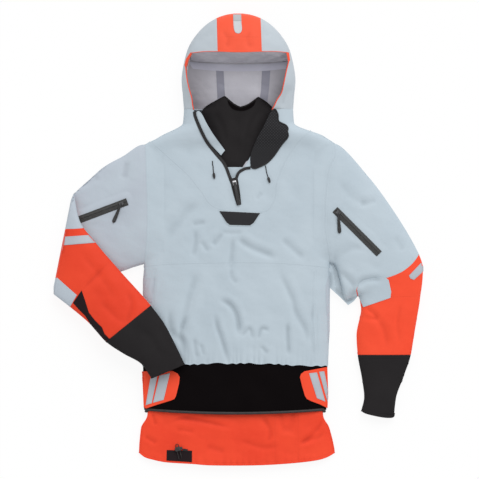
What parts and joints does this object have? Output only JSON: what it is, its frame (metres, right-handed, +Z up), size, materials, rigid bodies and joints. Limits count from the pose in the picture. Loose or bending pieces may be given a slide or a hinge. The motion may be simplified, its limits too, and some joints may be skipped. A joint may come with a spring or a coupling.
{
  "type": "hooded paddling jacket",
  "caption": "Hooded paddling jacket laid flat, with a double waist that seals over a spray deck, neoprene cuffs, neck gaiter, chest zip and sleeve pockets.",
  "frame": {"origin": "on the floor under the middle of the bounding box of the jacket as it lies", "axes": "+Y from the skirt to the hood, +Z up out of the front of the jacket, +X to the side of the bent arm, on the right as seen from above"},
  "size_m": [1.0158, 1.238, 0.1007],
  "materials": {
    "shell_grey": "matt coated nylon",
    "shell_orange": "matt coated nylon",
    "neoprene": "matt knit-faced neoprene",
    "lining": "matt lining cloth",
    "seam_tape": "satin taped seam",
    "reflective": "satin reflective tape",
    "zip": "woven tape with moulded coil",
    "zip_slider": "satin",
    "rubber": "matt",
    "latex": "satin"
  },
  "bodies": {
    "torso": {"back_panel": "shell_grey", "chest_panel": "shell_grey", "chest_patch": "neoprene", "front_yoke": "shell_grey", "hem_cord_loop": "rubber", "hem_elastic": "rubber", "left_cord_end": "rubber", "left_hood_cord": "rubber", "left_tab_base": "shell_orange", "left_tab_stripes": "reflective", "lower_front_panel": "shell_grey", "main_zip": "zip", "neck_gaiter": "neoprene", "right_cord_end": "rubber", "right_hood_cord": "rubber", "right_tab_base": "shell_orange", "right_tab_stripes": "reflective", "skirt": "shell_orange", "skirt_patch": "neoprene", "waistband": "neoprene", "waistband_grip_edge": "rubber", "zip_guard": "reflective", "zip_tape_left": "zip"},
    "hood": {"hood_left_panel": "shell_grey", "hood_middle_panel": "shell_orange", "hood_reflective_tab": "reflective", "hood_right_panel": "shell_grey", "hood_seam_tapes": "seam_tape", "brim_stiffener": "rubber"},
    "left_sleeve": {"left_upper_sleeve": "shell_grey", "left_pocket_zip": "zip", "left_pocket_bag": "lining"},
    "left_forearm": {"left_forearm": "shell_orange", "left_forearm_under": "shell_orange", "left_reflective_band": "reflective", "left_elbow_insert": "shell_grey", "left_cuff_gusset": "neoprene", "left_cuff": "neoprene", "left_wrist_seal": "latex"},
    "right_sleeve": {"right_upper_sleeve": "shell_grey", "right_pocket_zip": "zip", "right_pocket_bag": "lining"},
    "right_forearm": {"right_forearm": "shell_orange", "right_reflective_band": "reflective", "right_elbow_insert": "shell_grey", "right_cuff": "neoprene", "right_wrist_seal": "latex"},
    "chin_flap_body": {"chin_flap": "neoprene"},
    "main_slider_body": {"main_slider": "zip_slider"},
    "main_pull_body": {"main_pull": "rubber"},
    "left_pocket_slider_body": {"left_pocket_slider": "zip_slider"},
    "left_pocket_pull_body": {"left_pocket_pull": "rubber"},
    "right_pocket_slider_body": {"right_pocket_slider": "zip_slider"},
    "right_pocket_pull_body": {"right_pocket_pull": "rubber"},
    "left_tab_end_body": {"left_tab_end": "shell_orange"},
    "right_tab_end_body": {"right_tab_end": "shell_orange"},
    "cord_lock_body": {"cord_lock": "rubber"},
    "cord_lock_button_body": {"cord_lock_button": "rubber"}
  },
  "joints": [
    {"name": "hood_fold", "type": "hinge", "parent": "torso", "child": "hood", "pos_m": [0.00045, 0.355, 0], "axis": [-1, 0, 0], "range_deg": [0, 170]},
    {"name": "chin_flap_fold", "type": "hinge", "parent": "torso", "child": "chin_flap_body", "pos_m": [0.03345, 0.2175, 0.0664], "axis": [-0.3775, -0.9198, -0.1069], "range_deg": [0, 150]},
    {"name": "main_zip_slide", "type": "slide", "parent": "torso", "child": "main_slider_body", "axis": [0.1972, -0.9797, 0.0358], "range_m": [0, 0.05]},
    {"name": "main_pull_swing", "type": "hinge", "parent": "main_slider_body", "child": "main_pull_body", "pos_m": [-0.01035, 0.1546, 0.0692], "axis": [-0.9803, -0.1974, 0], "range_deg": [0, 150]},
    {"name": "left_shoulder_raise", "type": "hinge", "parent": "torso", "child": "left_sleeve", "pos_m": [-0.24105, 0.263, 0], "axis": [0, 0, -1], "range_deg": [0, 30]},
    {"name": "left_sleeve_unfold", "type": "hinge", "parent": "left_sleeve", "child": "left_forearm", "pos_m": [-0.48044, -0.01265, 0.02196], "axis": [-0.196, -0.9806, 0], "range_deg": [0, 165]},
    {"name": "left_pocket_zip_slide", "type": "slide", "parent": "left_sleeve", "child": "left_pocket_slider_body", "axis": [-0.9253, -0.3478, -0.1512], "range_m": [0, 0.055]},
    {"name": "left_pocket_pull_swing", "type": "hinge", "parent": "left_pocket_slider_body", "child": "left_pocket_pull_body", "pos_m": [-0.32205, 0.09661, 0.05226], "axis": [-0.9205, 0.3907, 0], "range_deg": [0, 150]},
    {"name": "right_shoulder_raise", "type": "hinge", "parent": "torso", "child": "right_sleeve", "pos_m": [0.24195, 0.263, 0], "axis": [0, 0, 1], "range_deg": [0, 30]},
    {"name": "right_elbow_straighten", "type": "hinge", "parent": "right_sleeve", "child": "right_forearm", "pos_m": [0.3995, -0.01872, 0], "axis": [0, 0, 1], "range_deg": [0, 40]},
    {"name": "right_pocket_zip_slide", "type": "slide", "parent": "right_sleeve", "child": "right_pocket_slider_body", "axis": [0.7066, -0.7066, -0.0396], "range_m": [0, 0.14]},
    {"name": "right_pocket_pull_swing", "type": "hinge", "parent": "right_pocket_slider_body", "child": "right_pocket_pull_body", "pos_m": [0.27418, 0.07227, 0.05895], "axis": [-0.9976, -0.0698, 0], "range_deg": [0, 150]},
    {"name": "left_tab_peel", "type": "hinge", "parent": "torso", "child": "left_tab_end_body", "pos_m": [-0.20705, -0.3775, 0.03732], "axis": [-0.257, -0.9639, -0.0689], "range_deg": [0, 80]},
    {"name": "right_tab_peel", "type": "hinge", "parent": "torso", "child": "right_tab_end_body", "pos_m": [0.19745, -0.3655, 0.03672], "axis": [-0.2805, 0.9561, 0.0845], "range_deg": [0, 120]},
    {"name": "cord_lock_slide", "type": "slide", "parent": "torso", "child": "cord_lock_body", "axis": [-0.2419, 0.9703, 0], "range_m": [-0.008, 0.003]},
    {"name": "cord_lock_press", "type": "slide", "parent": "cord_lock_body", "child": "cord_lock_button_body", "axis": [-0.9703, -0.2419, 0], "range_m": [0, 0.003], "stiffness_N_per_m": 300}
  ]
}
